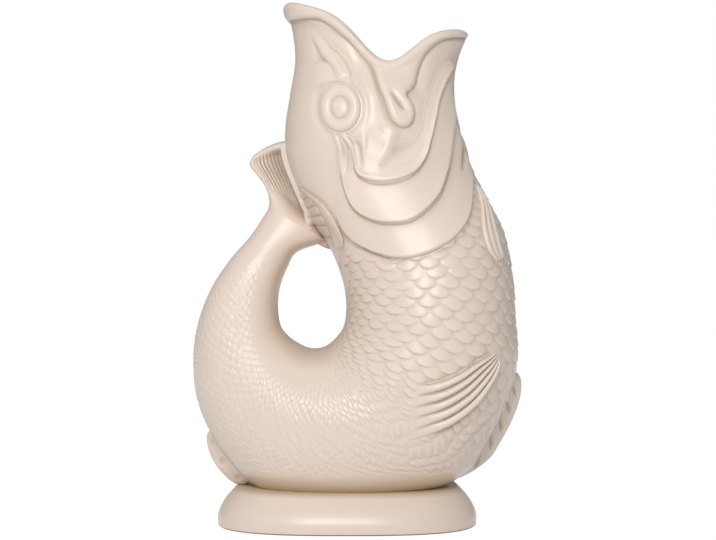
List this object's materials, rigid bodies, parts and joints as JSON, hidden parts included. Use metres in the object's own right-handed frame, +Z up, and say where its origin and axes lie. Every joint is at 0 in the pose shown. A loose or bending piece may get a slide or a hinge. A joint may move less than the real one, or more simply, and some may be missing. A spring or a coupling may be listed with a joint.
{
  "type": "gurgle jug",
  "caption": "Ceramic water jug shaped as a standing fish: the mouth is the spout and the hollow curled tail is the handle that makes the gurgle.",
  "frame": {"origin": "middle of the foot's underside, on the table", "axes": "+Z up, +X from the tail handle towards the spout, +Y to the fish's left side"},
  "size_m": [0.1591, 0.1114, 0.2499],
  "materials": {
    "cream_glaze": "gloss"
  },
  "bodies": {
    "root": {"head_shell": "cream_glaze", "breast_shell": "cream_glaze", "belly_shell": "cream_glaze", "tail_bend": "cream_glaze", "tail_riser": "cream_glaze", "mouth_rim": "cream_glaze", "foot": "cream_glaze", "tail_fin": "cream_glaze", "tail_lobe_left": "cream_glaze", "tail_lobe_right": "cream_glaze", "front_keel": "cream_glaze", "rear_keel": "cream_glaze", "gill_cover_left": "cream_glaze", "gill_cover_right": "cream_glaze", "eye_left": "cream_glaze", "eye_right": "cream_glaze", "brow_left": "cream_glaze", "brow_right": "cream_glaze", "mouth_corner_left": "cream_glaze", "mouth_corner_right": "cream_glaze", "pectoral_fin_left": "cream_glaze", "pectoral_fin_right": "cream_glaze", "pelvic_fin_left": "cream_glaze", "pelvic_fin_right": "cream_glaze"}
  },
  "joints": []
}
